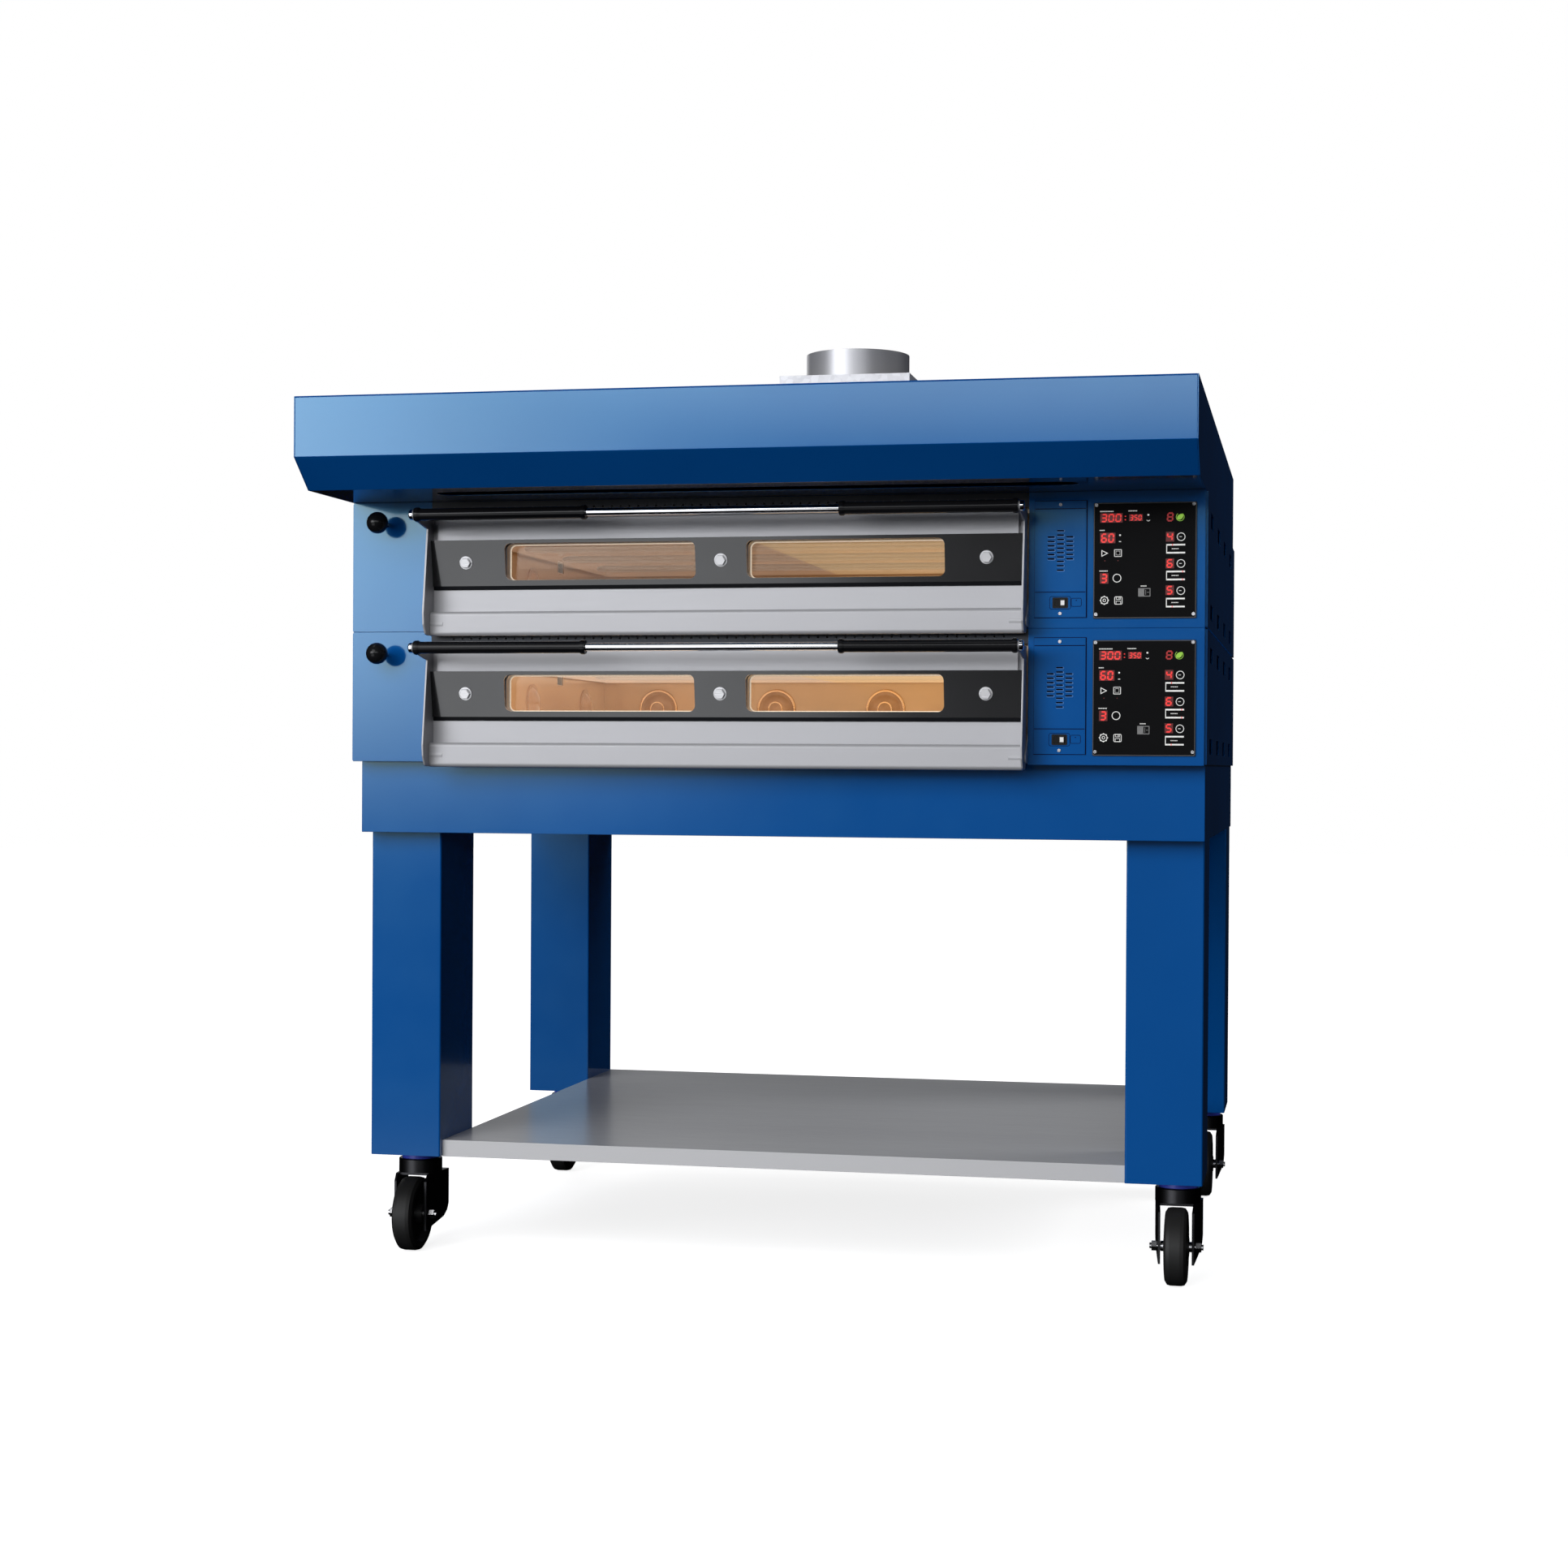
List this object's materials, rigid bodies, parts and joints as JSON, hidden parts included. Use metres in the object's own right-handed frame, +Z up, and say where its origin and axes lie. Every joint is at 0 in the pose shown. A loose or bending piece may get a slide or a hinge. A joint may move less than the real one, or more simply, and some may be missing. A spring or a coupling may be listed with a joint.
{
  "type": "two-deck electric pizza oven",
  "caption": "Stacked electric deck ovens with drop-down doors and windows, a fume hood with flue collar, and an open castor stand with a shelf.",
  "frame": {"origin": "on the floor, at the centre of the whole object's footprint", "axes": "+X to the right seen from the front, +Y from the doors to the back, +Z up"},
  "size_m": [1.508, 1.502, 1.696],
  "materials": {
    "blue_paint": "semi-gloss powder coat",
    "shelf_steel": "satin",
    "galvanised": "galvanised satin",
    "polished_steel": "polished",
    "stainless": "brushed",
    "chamber_steel": "heat tinted",
    "wool": "mineral wool",
    "stone": "refractory",
    "element_steel": "oxidised",
    "lamp_glass": "domed",
    "window_glass": "clear",
    "window_band": "satin black",
    "panel_black": "satin",
    "switch_black": "gloss",
    "switch_red": "gloss",
    "screws": "polished",
    "board": "matte",
    "chrome_bar": "polished",
    "grip_black": "gloss",
    "castor_plate": "gloss",
    "castor_metal": "dark metallic",
    "castor_bolts": "zinc plated",
    "tyre_black": "matte"
  },
  "bodies": {
    "oven": {"back_panels": "blue_paint", "baking_chambers": "chamber_steel", "base_plates": "galvanised", "cable_glands": "switch_black", "castor_top_plates": "castor_plate", "circuit_boards": "board", "control_panels": "panel_black", "fascia_panels": "blue_paint", "flue_box": "galvanised", "flue_collar": "polished_steel", "front_trims": "blue_paint", "hearth_stones": "stone", "heating_elements": "element_steel", "hinge_brackets": "polished_steel", "hood_cover": "blue_paint", "hood_front": "blue_paint", "hood_sides": "blue_paint", "insulation_jackets": "wool", "lower_shelf": "shelf_steel", "oven_lamps": "lamp_glass", "panel_screws": "screws", "side_panels": "blue_paint", "stand_frame": "blue_paint", "stand_legs": "blue_paint", "steam_ducts": "galvanised", "switch_housings": "switch_black", "top_plates": "galvanised", "vent_covers": "blue_paint"},
    "lower_door": {"lower_door_arms": "stainless", "lower_door_band": "window_band", "lower_door_bolts": "screws", "lower_door_glass": "window_glass", "lower_door_shell": "stainless", "lower_handle_bar": "chrome_bar", "lower_handle_grips": "grip_black"},
    "lower_vent": {"lower_vent_knob": "grip_black", "lower_vent_rod": "polished_steel"},
    "lower_switch": {"lower_power_switch": "switch_red"},
    "upper_door": {"upper_door_arms": "stainless", "upper_door_band": "window_band", "upper_door_bolts": "screws", "upper_door_glass": "window_glass", "upper_door_shell": "stainless", "upper_handle_bar": "chrome_bar", "upper_handle_grips": "grip_black"},
    "upper_vent": {"upper_vent_knob": "grip_black", "upper_vent_rod": "polished_steel"},
    "upper_switch": {"upper_power_switch": "switch_red"},
    "castor_front_left": {"castor_fork_front_left": "castor_metal", "castor_axle_front_left": "castor_bolts"},
    "wheel_front_left": {"castor_wheel_front_left": "tyre_black"},
    "castor_front_right": {"castor_fork_front_right": "castor_metal", "castor_axle_front_right": "castor_bolts"},
    "wheel_front_right": {"castor_wheel_front_right": "tyre_black"},
    "castor_rear_left": {"castor_fork_rear_left": "castor_metal", "castor_axle_rear_left": "castor_bolts"},
    "wheel_rear_left": {"castor_wheel_rear_left": "tyre_black"},
    "castor_rear_right": {"castor_fork_rear_right": "castor_metal", "castor_axle_rear_right": "castor_bolts"},
    "wheel_rear_right": {"castor_wheel_rear_right": "tyre_black"}
  },
  "joints": [
    {"name": "lower_door_hinge", "type": "hinge", "parent": "oven", "child": "lower_door", "pos_m": [-0.073, -0.499, 0.915], "axis": [1, 0, 0], "range_deg": [0, 70]},
    {"name": "lower_vent_pull", "type": "slide", "parent": "oven", "child": "lower_vent", "axis": [0, -1, 0], "range_m": [0, 0.045]},
    {"name": "lower_switch_rock", "type": "hinge", "parent": "oven", "child": "lower_switch", "pos_m": [0.5095, -0.477, 0.946], "axis": [0, 0, 1], "range_deg": [0, 12]},
    {"name": "upper_door_hinge", "type": "hinge", "parent": "oven", "child": "upper_door", "pos_m": [-0.073, -0.499, 1.145], "axis": [1, 0, 0], "range_deg": [0, 70]},
    {"name": "upper_vent_pull", "type": "slide", "parent": "oven", "child": "upper_vent", "axis": [0, -1, 0], "range_m": [0, 0.045]},
    {"name": "upper_switch_rock", "type": "hinge", "parent": "oven", "child": "upper_switch", "pos_m": [0.5095, -0.477, 1.176], "axis": [0, 0, 1], "range_deg": [0, 12]},
    {"name": "swivel_front_left", "type": "hinge", "parent": "oven", "child": "castor_front_left", "pos_m": [-0.7, -0.254, 0.15], "axis": [0, 0, 1], "continuous": true},
    {"name": "roll_front_left", "type": "hinge", "parent": "castor_front_left", "child": "wheel_front_left", "pos_m": [-0.7, -0.296, 0.0675], "axis": [1, 0, 0], "continuous": true},
    {"name": "swivel_front_right", "type": "hinge", "parent": "oven", "child": "castor_front_right", "pos_m": [0.7, -0.254, 0.15], "axis": [0, 0, 1], "continuous": true},
    {"name": "roll_front_right", "type": "hinge", "parent": "castor_front_right", "child": "wheel_front_right", "pos_m": [0.7, -0.296, 0.0675], "axis": [1, 0, 0], "continuous": true},
    {"name": "swivel_rear_left", "type": "hinge", "parent": "oven", "child": "castor_rear_left", "pos_m": [-0.7, 0.711, 0.15], "axis": [0, 0, 1], "continuous": true},
    {"name": "roll_rear_left", "type": "hinge", "parent": "castor_rear_left", "child": "wheel_rear_left", "pos_m": [-0.7, 0.669, 0.0675], "axis": [1, 0, 0], "continuous": true},
    {"name": "swivel_rear_right", "type": "hinge", "parent": "oven", "child": "castor_rear_right", "pos_m": [0.7, 0.711, 0.15], "axis": [0, 0, 1], "continuous": true},
    {"name": "roll_rear_right", "type": "hinge", "parent": "castor_rear_right", "child": "wheel_rear_right", "pos_m": [0.7, 0.669, 0.0675], "axis": [1, 0, 0], "continuous": true}
  ]
}
